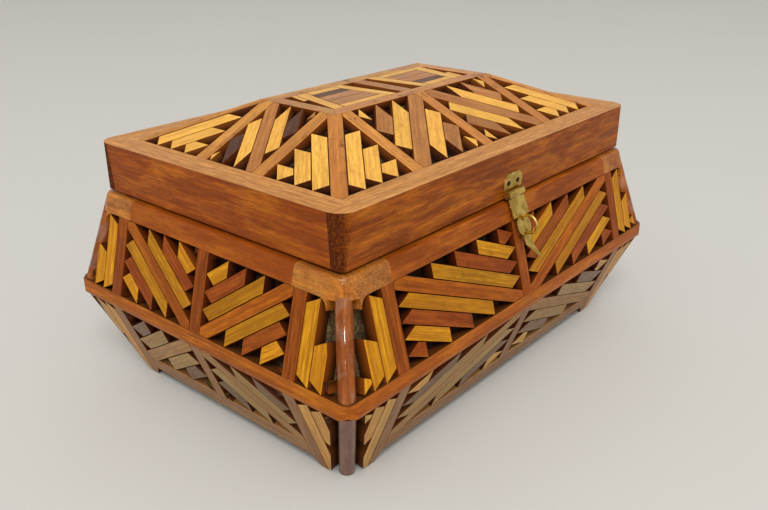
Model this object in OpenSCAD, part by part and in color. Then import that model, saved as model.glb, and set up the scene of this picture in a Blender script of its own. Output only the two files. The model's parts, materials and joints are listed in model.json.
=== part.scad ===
// Keepsake box of sawn strips: two sloping tiers that meet at a belt, a hipped lid and a brass hasp.
// Millimetres, +Z up, the front faces -Y, the origin lies on the floor under the middle of the box.
// On each sloping face u runs along the side, t runs up or down the slope and n points out of it.

/* [Box outline] */
// Length of the lid where it meets the box
lid_length = 300; // [280:1:330]
// Width of the lid where it meets the box
lid_width = 206; // [196:1:226]
// Height of the belt's nose above the floor
belt_height = 62.5; // [59:0.5:66]
// Height of the box's rim above the floor
rim_height = 129; // [126:0.5:134]
// Overhang of the belt's nose beyond the lid's outline
belt_overhang = 20.7; // [18.5:0.1:23]
// Overhang of the rim's face beyond the lid's outline
rim_overhang = 3.5; // [2.5:0.5:5]
// Inset of the feet from the lid's outline at the floor
foot_inset = 4; // [2:0.5:6]
// Height of the bottom rails above the floor
foot_clear = 7; // [5:0.5:9]
// Turn of the curve along which the bracket feet sweep down
foot_sweep = 60; // [45:5:90]

/* [Boards and rails] */
// Thickness of the backing boards of both tiers
board = 5; // [4:0.5:6]
// Depth of the strips, posts and rails that stand on the boards
overlay = 8.5; // [7.5:0.5:9.5]
// Width of the belt on the upper tier
belt_up = 7; // [6:0.5:9]
// Width of the belt on the lower tier
belt_low = 2.5; // [2.5:0.5:5]
// Radius of the belt's nose
nose_r = 6; // [3:0.5:6]
// Radius of the belt's corners in plan
belt_corner_r = 13; // [10:0.5:13]
// Height of the rim rails along the slope
rim_rail = 12; // [10:0.5:14]
// Radius of the rim's upper edge
rim_edge_r = 3.5; // [2:0.5:5]
// Radius of the rim's corner blocks behind the lid's outline
rim_corner_r = 7; // [6:0.5:9]
// Length of the rim's corner blocks from the lid's corner
block_len = 31; // [26:1:36]
// Radius of the coves under the corner blocks
cove_r = 6; // [4:0.5:8]
// Height of the bottom rails along the slope
bottom_rail = 12; // [10:0.5:14]
// Thickness of the bottom board
floor_board = 6; // [4:0.5:8]
// Height of the bottom board above the floor
floor_height = 10; // [9:0.5:14]

/* [Posts and strips] */
// Width of the posts between the bays
post_w = 9.5; // [8:0.5:11]
// Distance of the outer posts from the lid's corner, front and back
corner_bay_long = 26; // [24:0.5:30]
// Distance of the outer posts from the lid's corner, left and right
corner_bay_short = 24; // [22:0.5:28]
// Radius of the round corner posts
rod_r = 4.75; // [4:0.25:5.5]
// Setback of the corner posts' axis from the corner of the faces
rod_setback = 6.9; // [6.5:0.1:8]
// Share of a bay that the diagonal strips fill, upper tier, front and back
upper_fill_long = 0.857; // [0.8:0.001:0.96]
// Share of a bay that the diagonal strips fill, upper tier, left and right
upper_fill_short = 0.962; // [0.85:0.001:0.97]
// Share of a bay that the diagonal strips fill, lower tier, front and back
lower_fill_long = 0.824; // [0.75:0.001:0.96]
// Share of a bay that the diagonal strips fill, lower tier, left and right
lower_fill_short = 0.915; // [0.85:0.001:0.97]
// Width of the upright strips in the corner bays
corner_strip = 9.3; // [8:0.1:10]
// Slant of the corner strips' ends
corner_slant = 5; // [3:0.5:5.5]
// Height of the second corner strip on the upper tier
upper_second = 29; // [24:0.5:34]
// Height of the second corner strip on the lower tier
lower_second = 36; // [30:0.5:40]
// Height of the last corner strip on both tiers
corner_last = 12.5; // [11.5:0.5:16]
// Gap between neighbouring strips
strip_gap = 0.5; // [0.3:0.1:0.8]
// Room between the corner strips and the corner of the faces
corner_room = 13; // [12.5:0.5:15]
// Height of the corner strips' lowest ends above the floor
strip_lift = 1; // [0.5:0.5:3]

/* [Lid] */
// Gap between the rim and the lid, where the hinge leaves lie
lid_gap = 1.8; // [1.7:0.1:2.5]
// Height of the lid's rails
lid_rail = 31.2; // [26:0.2:36]
// Outward flare of the lid's rails at their top
lid_flare = 2.1; // [0:0.1:4]
// Radius of the lid's corners
lid_corner_r = 11; // [8:0.5:14]
// Thickness of the lid's rails at the joint
lid_rail_t = 16; // [14:0.5:18]
// Thickness of the front and back rails at their rabbeted ends
lid_lap = 8.5; // [7:0.5:10]
// Level run of the lid's slopes
roof_run = 55; // [50:1:60]
// Rise of the lid's slopes
roof_rise = 24; // [18:0.5:30]
// Thickness of the lid's panels
lid_board = 4; // [3:0.5:5]
// Depth of the strips and rails on the lid
lid_overlay = 7; // [6:0.5:8]
// Width of the hip rails
hip_w = 9.5; // [8:0.5:11]
// Width of the rails on the slopes
slope_rail = 9.5; // [8:0.5:11]
// Inset of the outer rails from the flat top's corners, front and back slopes
slope_rail_in_long = 9; // [6:0.5:12]
// Inset of the rails from the flat top's corners, left and right slopes
slope_rail_in_short = 7.5; // [6:0.5:10]
// Share of a bay that the diagonal strips fill, front and back slopes
slope_fill_long = 0.896; // [0.8:0.001:0.96]
// Share of a bay that the diagonal strips fill, left and right slopes
slope_fill_short = 0.923; // [0.85:0.001:0.96]
// Width of the strips beside the hips
hip_strip = 9.4; // [8:0.1:10]
// Width of the frame round the flat top
top_frame_w = 10; // [8:0.5:12]
// Width of the slanting strips on the flat top
top_strip = 8; // [7:0.5:9]
// Lean of the outer slanting strips across the flat top
top_lean = 11; // [8:0.5:13]
// Lean of the inner slanting strips across the flat top
inner_lean = 5; // [2:0.5:6]
// Width of the bar across the middle of the flat top
top_bar = 10; // [8:0.5:12]
// Room between the bar and the inner slanting strips
inner_room = 6; // [3:0.5:8]
// Width of the chips in the corners of the flat top
chip_w = 4; // [3:0.5:5]
// Share of the half width at which the chips start
chip_from = 0.3; // [0.2:0.05:0.5]

/* [Hinges] */
// Distance of each hinge from the middle of the back
hinge_at = 85; // [60:1:105]
// Width of a hinge along its pin
hinge_w = 30; // [26:1:36]
// Thickness of the hinge leaves
hinge_leaf = 0.8; // [0.6:0.05:0.8]
// Depth of the hinge leaves between rim and lid
hinge_reach = 11; // [9:0.5:12]
// Distance of the hinge screws from the outer edge of the leaves
hinge_screw_in = 5.5; // [5:0.1:5.6]
// Radius of the hinge knuckles
knuckle_r = 2.3; // [2:0.1:2.6]
// Radius of the hinge pins
pin_r = 1.2; // [0.9:0.05:1.3]
// Running clearance round the pins
pin_fit = 0.05; // [0.03:0.01:0.1]
// Room between the knuckles and what is near them
knuckle_room = 0.4; // [0.3:0.05:0.6]
// Length of the hinge screws in the wood
screw_len = 7; // [5:0.5:8]
// Radius of the screw heads
screw_head_r = 1.9; // [1.5:0.1:2.2]
// Radius of the screw shanks
screw_r = 1; // [0.7:0.1:1.2]

/* [Hasp] */
// Distance of the hasp from the middle of the front, to the right
hasp_x = 2.5; // [-2:0.5:3]
// Width of the hasp's plate
hasp_w = 20; // [16:0.5:24]
// Height of the hasp's plate
hasp_h = 16; // [13:0.5:18]
// Clipped corners of the hasp's plate
hasp_clip = 4; // [2:0.5:6]
// Thickness of the hasp's sheet brass
hasp_t = 0.9; // [0.7:0.1:1.2]
// Height of the holes in the hasp's plate
plate_hole_at = 9.6; // [8:0.2:10]
// Radius of the holes in the hasp's plate
plate_hole_r = 1.2; // [1:0.1:1.6]
// Radius of the hasp's knuckle
hasp_knuckle_r = 2.5; // [2.2:0.1:3]
// Width of the hanging leaf's own knuckle
hasp_middle = 10; // [8:0.5:11]
// Width of the hanging leaf
leaf_w = 17; // [14:0.5:19]
// Straight length of the hanging leaf
leaf_len = 15; // [12:0.5:18]
// Swing of the hanging leaf out from plumb where it rests on the stud
leaf_swing = 23; // [22:1:28]
// Radius of the lobe that carries the ring
lobe_r = 7; // [6:0.5:8]
// Distance of the ring below the knuckle
ring_drop = 21; // [20:0.5:23]
// Radius of the ring at the middle of its wire
ring_r = 5.7; // [5.2:0.1:6.2]
// Radius of the ring's wire
wire_r = 0.9; // [0.7:0.05:1]
// Distance of the ring's middle in front of the leaf
ring_out = 3.6; // [3.4:0.1:4]
// Clearance of the wire in the leaf's holes
wire_fit = 0.6; // [0.5:0.05:0.8]
// Half width of the leaf at its waist
waist_r = 3.6; // [3:0.2:4.4]
// Distance of the tip's bend below the knuckle
bend_drop = 33; // [32.5:0.5:36]
// Length of the tip past its bend
tip_len = 10.5; // [9:0.5:11]
// Outward bend of the tip
tip_bend = 30; // [20:1:40]
// Half width of the tip's root
tip_root = 3.4; // [2.6:0.2:3.4]
// Half width of the tip's end
tip_r = 1; // [0.6:0.2:2]
// Distance of the stud under the leaf, below the knuckle
stud_drop = 29; // [28.5:0.5:30]
// Radius of the stud's head
stud_head_r = 2.4; // [1.8:0.1:3]
// Radius of the stud's shank
stud_r = 1.3; // [1:0.1:1.6]
// Thickness of the stud's head
stud_head = 1.4; // [1:0.1:2]
// Depth of the stud in its post
stud_depth = 6; // [4:0.5:7.5]
// Room between the leaf and the stud
stud_room = 0.4; // [0.3:0.1:0.6]

/* [Hidden] */
$fn = 40;
SIDES = ["front", "right", "back", "left"];
LONG_SIDES = ["front", "back"];
half_l = lid_length / 2;
half_w = lid_width / 2;
up_tilt = atan((belt_overhang - rim_overhang) / (rim_height - belt_height));
low_tilt = atan((belt_overhang + foot_inset) / belt_height);
roof_tilt = atan(roof_rise / roof_run);
roof_len = roof_run / cos(roof_tilt);
lid_z = rim_height + lid_gap;
lid_top = lid_z + lid_rail;
roof_top = lid_top + roof_rise;
lid_tilt = atan(lid_flare / lid_rail);
rim_t = (rim_height - belt_height) / cos(up_tilt) - rim_rail;
low_rail_end = (belt_height - foot_clear) / cos(low_tilt);
low_rail_t = low_rail_end - bottom_rail;
foot_t = belt_height / cos(low_tilt);
reach = lid_length + lid_width;
nose_steps = 6;
edge_steps = 5;
curve_steps = 6;

// Hinge axis, behind the rim and level with the middle of the gap
hinge_y = half_w + rim_overhang + knuckle_r + knuckle_room;
hinge_z = rim_height + lid_gap / 2;
hinge_knuckle = hinge_w / 3;

// Hasp axis, in front of the lid's front rail
hasp_axis_n = hasp_knuckle_r + knuckle_room;
hasp_y = -half_w - hasp_axis_n;
hasp_z = lid_z + hasp_knuckle_r;
// Foot of the stud on the upper front, and the height of its head under the leaf
leaf_dir = [sin(leaf_swing), -cos(leaf_swing)];
stud_touch = [hasp_axis_n, hasp_z] + stud_drop * leaf_dir - hasp_t / 2 * [cos(leaf_swing), sin(leaf_swing)]
    - [belt_overhang, belt_height];
stud_t = stud_touch * [-sin(up_tilt), cos(up_tilt)];
stud_top = stud_touch * [cos(up_tilt), sin(up_tilt)] - stud_head_r * tan(leaf_swing - up_tilt) - stud_room;
ring_chord = sqrt(ring_r * ring_r - ring_out * ring_out);

// Woods and metal, as the varnished pieces look
gold = [0.86, 0.62, 0.20];
olive = [0.71, 0.54, 0.20];
orange = [0.72, 0.40, 0.14];
brown = [0.58, 0.30, 0.13];
plum = [0.38, 0.28, 0.25];
mahogany = [0.55, 0.26, 0.11];
post_wood = [0.56, 0.28, 0.13];
board_wood = [0.25, 0.15, 0.09];
brass = [0.66, 0.60, 0.33];

// Half the length of a side, its distance from the middle and its turn about Z
function is_long(s) = s == "front" || s == "back";
function half_len(s) = is_long(s) ? half_l : half_w;
function half_dep(s) = is_long(s) ? half_w : half_l;
function turn(s) = 90 * search([s], SIDES)[0];
function post_at(s) = half_len(s) - (is_long(s) ? corner_bay_long : corner_bay_short);

// Points of the cross-section as [overhang, height], for a place t along a slope and a depth n
function up(t, n) = [belt_overhang - t * sin(up_tilt) + n * cos(up_tilt),
                     belt_height + t * cos(up_tilt) + n * sin(up_tilt)];
function low(t, n) = [belt_overhang - t * sin(low_tilt) + n * cos(low_tilt),
                      belt_height - t * cos(low_tilt) - n * sin(low_tilt)];
function roof(t, n) = [-lid_rail_t - t * cos(roof_tilt) + n * sin(roof_tilt),
                       lid_top + t * sin(roof_tilt) + n * cos(roof_tilt)];
function up_at(z, n) = up((z - belt_height - n * sin(up_tilt)) / cos(up_tilt), n);
function low_at(z, n) = low((belt_height - z - n * sin(low_tilt)) / cos(low_tilt), n);
function roof_at(o, n) = roof((-lid_rail_t - o + n * sin(roof_tilt)) / cos(roof_tilt), n);
// Where the planes of the two tiers meet at a depth n
function nose(n) = [belt_overhang + n * (sin(up_tilt) + sin(low_tilt)) / sin(up_tilt + low_tilt),
                    belt_height + n * (cos(low_tilt) - cos(up_tilt)) / sin(up_tilt + low_tilt)];
function arc(c, r, from, to, steps) =
    [for (i = [0:steps]) let (a = from + (to - from) * i / steps) c + r * [cos(a), sin(a)]];

// Cross-sections of the boards and rails that run round the box
function belt_profile() = concat([up(belt_up, -overlay), up(belt_up, 0)],
    arc(nose(-nose_r), nose_r, up_tilt, -low_tilt, nose_steps),
    [low(belt_low, 0), low(belt_low, -overlay), nose(-overlay)]);
function rim_profile() = concat([up(rim_t, -overlay), up(rim_t, 0)],
    arc(up_at(rim_height - rim_edge_r, -rim_edge_r), rim_edge_r, up_tilt, 90, edge_steps),
    [up_at(rim_height, -overlay)]);
function upper_board_profile() = [nose(-overlay), up_at(rim_height, -overlay),
    up_at(rim_height, -overlay - board), nose(-overlay - board)];
function lower_board_profile() = [nose(-overlay), nose(-overlay - board),
    low_at(foot_clear, -overlay - board), low_at(foot_clear, -overlay)];
roof_join = roof((roof_rise - lid_overlay * (1 - cos(roof_tilt))) / sin(roof_tilt), -lid_overlay)[0];
function lid_board_profile() = [roof_at(-lid_rail_t, -lid_overlay), roof_at(roof_join, -lid_overlay),
    roof_at(roof_join, -lid_overlay - lid_board), roof_at(-lid_rail_t, -lid_overlay - lid_board)];
top_edge = -lid_rail_t - roof_run;
// Middle lines of the outer rails on the slopes
slope_rail_long = half_l + top_edge - slope_rail_in_long;
slope_rail_short = half_w + top_edge - slope_rail_in_short;

// A cross-section run along one side, from one u to another
module along(s, profile, from, to)
    rotate([0, 0, turn(s)]) translate([from, 0, 0]) rotate([90, 0, 90])
        linear_extrude(to - from) polygon([for (p = profile) [-half_dep(s) - p[0], p[1]]]);

// The same with both ends mitred at the corners
module mitred(s, profile) {
    out = 2 * belt_overhang;
    back = min(half_l, half_w) - strip_gap;
    hl = half_len(s);
    hd = half_dep(s);
    intersection() {
        along(s, profile, -hl - out, hl + out);
        rotate([0, 0, turn(s)]) linear_extrude(2 * roof_top)
            polygon([[-hl - out, -hd - out], [hl + out, -hd - out],
                     [hl - back, back - hd], [back - hl, back - hd]]);
    }
}

// Frames of the sloping faces, with u, t and n as X, Y and Z
module on_upper(s)
    rotate([0, 0, turn(s)]) translate([0, -half_dep(s) - belt_overhang, belt_height])
        rotate([90 - up_tilt, 0, 0]) children();
module on_lower(s)
    rotate([0, 0, turn(s)]) translate([0, -half_dep(s) - belt_overhang, belt_height])
        rotate([90 + low_tilt, 0, 0]) mirror([0, 1, 0]) children();
module on_roof(s)
    rotate([0, 0, turn(s)]) translate([0, lid_rail_t - half_dep(s), lid_top])
        rotate([roof_tilt, 0, 0]) children();
module raised(depth) translate([0, 0, -depth]) linear_extrude(depth) children();
module both_ways() {
    children();
    mirror([1, 0, 0]) children();
}
module four_corners()
    both_ways() {
        children();
        mirror([0, 1, 0]) children();
    }

// One strip of a bay of width w and height h that rises to the right, d away from the bay's diagonal.
// A strip past the diagonal has a square end at the rail and a pointed end at the post.
function strip_points(w, h, d, b) = d < 0 ? [for (p = strip_points(w, h, -d, b)) -p] :
    let (long = norm([w, h]), rise = long / w, run = long / h, hi = d + b / 2, lo = d - b / 2)
    d == 0 ? [[-w / 2, hi * rise - h / 2], [w / 2 - hi * run, h / 2], [w / 2, h / 2],
              [w / 2, h / 2 - hi * rise], [hi * run - w / 2, -h / 2], [-w / 2, -h / 2]] :
    let (tip = [-w / 2, hi * rise - h / 2], head = [w / 2 - hi * run, h / 2],
         heel_x = b * run / 2 - w / 2, heel = [heel_x, heel_x * h / w + lo * rise])
    heel_x < head[0] ? [tip, head, [head[0], head[0] * h / w + lo * rise], heel]
                     : [tip, head, [head[0], tip[1] - (head[0] + w / 2) * h / w]];

// The strips of one bay that have the wanted tone; tones lists them from the lowest place to the highest.
// They lie one pitch apart and fill their share of the bay's breadth from corner to corner across them.
module bay_strips(w, h, fill, tones, tone) {
    middle = (len(tones) - 1) / 2;
    breadth = 2 * w * h / norm([w, h]);
    pitch = fill * breadth / len(tones);
    for (i = [0:len(tones) - 1])
        if (tones[i] == tone)
            polygon(strip_points(w - strip_gap, h - strip_gap, (i - middle) * pitch, pitch - strip_gap));
}

// Tones of the strips from the belt outwards on the tiers, and from the rim upwards on the lid
UPPER_TONES = ["brown", "gold", "brown", "olive", "orange", "olive", "brown", "gold", "brown"];
LOWER_TONES = ["gold", "plum", "olive", "tan", "olive", "plum", "gold"];
LONG_TONES = ["gold", "brown", "gold", "brown", "gold", "brown", "gold"];
SHORT_TONES = ["gold", "plum", "gold", "brown", "gold", "plum", "brown"];

// Strips of one tone on every bay of a tier; the two bays of a side mirror each other
module tier_strips(s, t_from, t_to, fill, tones, tone) {
    w = post_at(s) - post_w;
    both_ways() translate([post_at(s) / 2, (t_from + t_to) / 2])
        bay_strips(w, t_to - t_from, fill, tones, tone);
}
module upper_strips(tone)
    for (s = SIDES) {
        fill = is_long(s) ? upper_fill_long : upper_fill_short;
        on_upper(s) raised(overlay) tier_strips(s, belt_up, rim_t, fill, UPPER_TONES, tone);
    }
module lower_strips(tone)
    for (s = SIDES) {
        fill = is_long(s) ? lower_fill_long : lower_fill_short;
        on_lower(s) raised(overlay) tier_strips(s, belt_low, low_rail_t, fill, LOWER_TONES, tone);
    }

// Upright strips of a corner bay, shorter towards the corner, with slanted ends
module corner_strips(s, t_from, ends, tilt)
    for (i = [0:len(ends) - 1]) {
        u = post_at(s) + post_w / 2 + strip_gap + i * (corner_strip + strip_gap);
        edge = half_len(s) + belt_overhang - corner_room;
        intersection() {
            polygon([[u, t_from + corner_slant], [u + corner_strip, t_from],
                     [u + corner_strip, ends[i]], [u, ends[i] - corner_slant]]);
            polygon([[0, t_from], [edge - t_from * sin(tilt), t_from],
                     [edge - (ends[i] + t_from) * sin(tilt), ends[i] + t_from], [0, ends[i] + t_from]]);
        }
    }

// Backing and base

// The bottom board fills the foot of the sloping boards, so its edges slope with them
module bottom_board()
    color(board_wood) intersection() {
        bottom_slab("front");
        bottom_slab("right");
    }
module bottom_slab(s) {
    low_edge = low_at(floor_height, -overlay - board);
    high_edge = low_at(floor_height + floor_board, -overlay - board);
    across = -2 * half_dep(s);
    profile = [low_edge, high_edge,
               [across - high_edge[0], high_edge[1]],
               [across - low_edge[0], low_edge[1]]];
    along(s, profile, -half_len(s) - belt_overhang, half_len(s) + belt_overhang);
}
module lower_panel(s) color(board_wood) mitred(s, lower_board_profile());
module upper_panel(s) color(board_wood) mitred(s, upper_board_profile());

// Rails of the box

module belt_rail(s) {
    size = 2 * [half_l + belt_overhang, half_w + belt_overhang];
    color(orange) intersection() {
        mitred(s, belt_profile());
        linear_extrude(2 * belt_height) rounded(size, belt_corner_r);
    }
}
module rounded(size, r) {
    square([size[0] - 2 * r, size[1]], center = true);
    square([size[0], size[1] - 2 * r], center = true);
    for (x = [-1, 1], y = [-1, 1])
        translate([x * (size[0] / 2 - r), y * (size[1] / 2 - r)]) circle(r);
}
module rim_rail(s) {
    end = half_len(s) - block_len;
    color(mahogany) along(s, rim_profile(), -end, end);
}
module rim_rail_back()
    color(mahogany) difference() {
        rim_rail("back");
        at_hinges() screw_places() translate([0, 0, -lid_gap / 2]) pilot_hole();
    }
module rim_corner_blocks()
    color(orange) difference() {
        four_corners() {
            along("back", rim_profile(), rim_corner_r - half_l, block_len - half_l);
            along("right", rim_profile(), half_w - block_len, half_w - rim_corner_r);
            translate([half_l - rim_corner_r, half_w - rim_corner_r, 0]) rotate_extrude(angle = 90)
                polygon([for (p = rim_profile()) [rim_corner_r + p[0], p[1]]]);
            coves();
        }
        for (s = SIDES) upper_panel(s);
    }
// Coves that lead from a corner block into the round post under it
module coves()
    for (s = ["back", "right"]) {
        side = s == "back" ? -1 : 1;
        u = half_len(s) + up(rim_t, 0)[0] - rod_setback - rod_r - cove_r;
        on_upper(s) translate([side * u, rim_t - cove_r, 0]) raised(overlay) intersection() {
            difference() {
                translate([-cove_r, 0]) square([2 * cove_r, cove_r]);
                circle(cove_r);
            }
            translate([side < 0 ? -cove_r : 0, 0]) square(cove_r);
        }
    }
module bottom_rails()
    color(post_wood) for (s = SIDES) {
        end = post_at(s) - post_w / 2;
        on_lower(s) raised(overlay) translate([-end, low_rail_t]) square([2 * end, bottom_rail]);
    }

// Posts of the box

module rod_at(tilt)
    translate([half_l + belt_overhang - rod_setback, half_w + belt_overhang - rod_setback, belt_height])
        rotate([0, 0, 45]) rotate([0, -atan(sqrt(2) * tan(tilt)), 0]) children();
module belt_and_boards()
    for (s = SIDES) {
        belt_rail(s);
        upper_panel(s);
        lower_panel(s);
    }
module upper_corner_posts()
    color(mahogany) difference() {
        four_corners() rod_at(up_tilt)
            translate([0, 0, belt_up / 2]) cylinder(h = rim_height - belt_height - belt_up / 2, r = rod_r);
        belt_and_boards();
        rim_corner_blocks();
    }
module lower_corner_posts()
    color(post_wood) difference() {
        four_corners() rod_at(-low_tilt)
            translate([0, 0, -2 * belt_height]) cylinder(h = 2 * belt_height, r = rod_r);
        belt_and_boards();
        translate([-reach, -reach, -reach]) cube([2 * reach, 2 * reach, reach]);
    }
module upper_posts()
    color(post_wood) difference() {
        for (s = SIDES, u = [-1, 0, 1])
            on_upper(s) raised(overlay)
                translate([u * post_at(s) - post_w / 2, belt_up]) square([post_w, rim_t - belt_up]);
        on_stud() cylinder(h = 2 * stud_depth, r = stud_r + pin_fit, center = true);
    }
module lower_posts()
    color(post_wood) for (s = SIDES)
        on_lower(s) raised(overlay)
            translate([-post_w / 2, belt_low]) square([post_w, low_rail_t - belt_low]);
// Lower line of a bracket foot, which sweeps down from the bottom rail and past the floor
function foot_line(x) = low_rail_end + (foot_t + overlay - low_rail_end) * sin(foot_sweep * x);
module above_floor(lift = 0)
    intersection() {
        children();
        translate([-reach, -reach, lift]) cube([2 * reach, 2 * reach, reach]);
    }
module foot_posts()
    color(post_wood) above_floor() for (s = SIDES)
        on_lower(s) raised(overlay) both_ways() translate([post_at(s) - post_w / 2, 0])
            polygon(concat([[0, belt_low], [0, low_rail_end]],
                [for (i = [0:curve_steps]) [post_w * i / curve_steps, foot_line(i / curve_steps)]],
                [[post_w, belt_low]]));

// Strips of the box

module upper_strips_orange() color(orange) upper_strips("orange");
module upper_strips_olive() color(olive) upper_strips("olive");
module upper_strips_brown() color(brown) upper_strips("brown");
module upper_strips_gold() color(gold) upper_strips("gold");
module lower_strips_tan() color(orange) lower_strips("tan");
module lower_strips_olive() color(olive) lower_strips("olive");
module lower_strips_plum() color(plum) lower_strips("plum");
module lower_strips_gold() color(gold) lower_strips("gold");
module upper_corner_strips() {
    ends = [rim_t - strip_gap, belt_up + upper_second, belt_up + corner_last];
    color(gold) for (s = SIDES)
        on_upper(s) raised(overlay) both_ways() corner_strips(s, belt_up, ends, up_tilt);
}
module lower_corner_strips() {
    ends = [foot_t + overlay, belt_low + lower_second, belt_low + corner_last];
    color(gold) above_floor(strip_lift) for (s = SIDES)
        on_lower(s) raised(overlay) both_ways() corner_strips(s, belt_low, ends, low_tilt);
}

// Hinges at the back

module at_hinges() for (x = [-1, 1]) translate([x * hinge_at, hinge_y, hinge_z]) children();
module knuckles(places, tab_z)
    for (x = places) translate([x * hinge_knuckle, 0, 0]) {
        w = hinge_knuckle - pin_fit;
        rotate([0, 90, 0]) cylinder(h = w, r = knuckle_r, center = true);
        translate([-w / 2, -knuckle_r - knuckle_room, tab_z]) cube([w, knuckle_r + knuckle_room, hinge_leaf]);
    }
module leaf_plate(z)
    translate([-hinge_w / 2, -knuckle_r - knuckle_room - hinge_reach, z])
        cube([hinge_w, hinge_reach, hinge_leaf]);
module pin_bore() rotate([0, 90, 0]) cylinder(h = 2 * hinge_w, r = pin_r + pin_fit, center = true);
module screw_places()
    for (x = [-1, 1])
        translate([x * hinge_w / 3, -knuckle_r - knuckle_room - hinge_screw_in, 0]) children();
module hinge_box_leaves()
    color(brass) at_hinges() difference() {
        union() {
            knuckles([-1, 1], -lid_gap / 2);
            leaf_plate(-lid_gap / 2);
        }
        pin_bore();
        screw_places() cylinder(h = lid_gap * 2, r = screw_head_r, center = true);
    }
module hinge_lid_leaves()
    color(brass) at_hinges() difference() {
        union() {
            knuckles([0], lid_gap / 2 - hinge_leaf);
            leaf_plate(lid_gap / 2 - hinge_leaf);
        }
        pin_bore();
        screw_places() cylinder(h = lid_gap * 2, r = screw_head_r, center = true);
    }
module hinge_pins()
    color(brass) at_hinges() rotate([0, 90, 0]) cylinder(h = hinge_w, r = pin_r, center = true);
module pilot_hole() cylinder(h = 2 * screw_len, r = screw_r + pin_fit, center = true);
module wood_screw() {
    cylinder(h = hinge_leaf, r = screw_head_r - pin_fit);
    translate([0, 0, -screw_len]) cylinder(h = screw_len + hinge_leaf / 2, r = screw_r);
}
module hinge_box_screws()
    color(brass) at_hinges() screw_places() translate([0, 0, -lid_gap / 2]) wood_screw();
module hinge_lid_screws()
    color(brass) at_hinges() screw_places() translate([0, 0, lid_gap / 2]) mirror([0, 0, 1]) wood_screw();

// Lid

// The lid's rails as one block with rounded corners and flaring sides, cut to the children
module lid_block() {
    size = 2 * [half_l + lid_flare, half_w + lid_flare];
    flare = [[0, lid_z], [lid_flare, lid_top], [-reach, lid_top], [-reach, lid_z]];
    intersection() {
        translate([0, 0, lid_z]) linear_extrude(lid_rail) rounded(size, lid_corner_r);
        along("front", flare, -reach, reach);
        along("right", flare, -reach, reach);
        along("back", flare, -reach, reach);
        along("left", flare, -reach, reach);
        children();
    }
}
// The front and back rails run through and are rabbeted at their ends, where the left and right rails fit in
module lid_rail_side(s)
    color(mahogany) lid_block() rotate([0, 0, turn(s)]) translate([0, -half_dep(s), lid_z])
        linear_extrude(lid_rail)
            if (is_long(s)) difference() {
                translate([-reach, -reach]) square([2 * reach, reach + lid_rail_t]);
                both_ways() translate([half_len(s) - lid_rail_t, lid_lap]) square([reach, lid_rail_t]);
            } else
                translate([lid_lap - half_len(s), -reach])
                    square([2 * (half_len(s) - lid_lap), reach + lid_rail_t]);
module lid_rail_back()
    color(mahogany) difference() {
        lid_rail_side("back");
        at_hinges() screw_places() translate([0, 0, lid_gap / 2]) pilot_hole();
    }
module lid_panel(s) color(board_wood) mitred(s, lid_board_profile());
module lid_panel_top() {
    size = 2 * [half_l + roof_join, half_w + roof_join];
    color(board_wood) translate([0, 0, roof_top - lid_overlay - lid_board])
        linear_extrude(lid_board) square(size, center = true);
}
// The frame's outer edges are square to the slopes, so two sloped slabs meet in it
module top_frame()
    color(brown) difference() {
        intersection() {
            top_slab("front");
            top_slab("right");
        }
        translate([-top_l, -top_w, lid_top]) cube([2 * top_l, 2 * top_w, reach]);
    }
module top_slab(s) {
    across = -2 * half_dep(s);
    seat = roof_top - lid_overlay;
    low_edge = roof(roof_len, -lid_overlay);
    profile = [[top_edge, roof_top], low_edge, [low_edge[0], seat],
               [across - low_edge[0], seat], [across - low_edge[0], low_edge[1]],
               [across - top_edge, roof_top]];
    along(s, profile, -half_len(s), half_len(s));
}

// In the plane of a slope: how far a hip lies from the middle at t, and a strip beside it
function hip_u(s, t) = half_len(s) - lid_rail_t - t * roof_run / roof_len;
hip_angle = atan2(roof_len, roof_run);
function beside_hip(s, d, t) = hip_u(s, t) - d / sin(hip_angle);
module hip_band(s)
    polygon([[hip_u(s, 0), 0], [hip_u(s, roof_len), roof_len],
             [beside_hip(s, hip_w / 2, roof_len), roof_len], [beside_hip(s, hip_w / 2, 0), 0]]);
module hip_rails()
    color(brown) for (x = [0, 1], y = [0, 1]) mirror([x, 0, 0]) mirror([0, y, 0]) {
        on_roof("right") raised(lid_overlay) mirror([1, 0, 0]) hip_band("right");
        on_roof("front") raised(lid_overlay) hip_band("front");
    }
module slope_rails()
    color(brown) for (s = SIDES)
        on_roof(s) raised(lid_overlay) difference() {
            for (u = is_long(s) ? [-1, 0, 1] * slope_rail_long : [-1, 1] * slope_rail_short)
                translate([u - slope_rail / 2, 0]) square([slope_rail, roof_len]);
            both_ways() hip_band(s);
        }
// Strips of one tone in the middle bays of the slopes
module slope_strips(tone) {
    long_w = slope_rail_long - slope_rail;
    short_w = 2 * slope_rail_short - slope_rail;
    for (s = LONG_SIDES) on_roof(s) raised(lid_overlay) difference() {
        both_ways() translate([-slope_rail_long / 2, roof_len / 2])
            bay_strips(long_w, roof_len, slope_fill_long, LONG_TONES, tone);
        both_ways() hip_band(s);
    }
    for (s = ["left", "right"])
        on_roof(s) raised(lid_overlay) mirror([1, 0, 0]) translate([0, roof_len / 2])
            bay_strips(short_w, roof_len, slope_fill_short, SHORT_TONES, tone);
}
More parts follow.
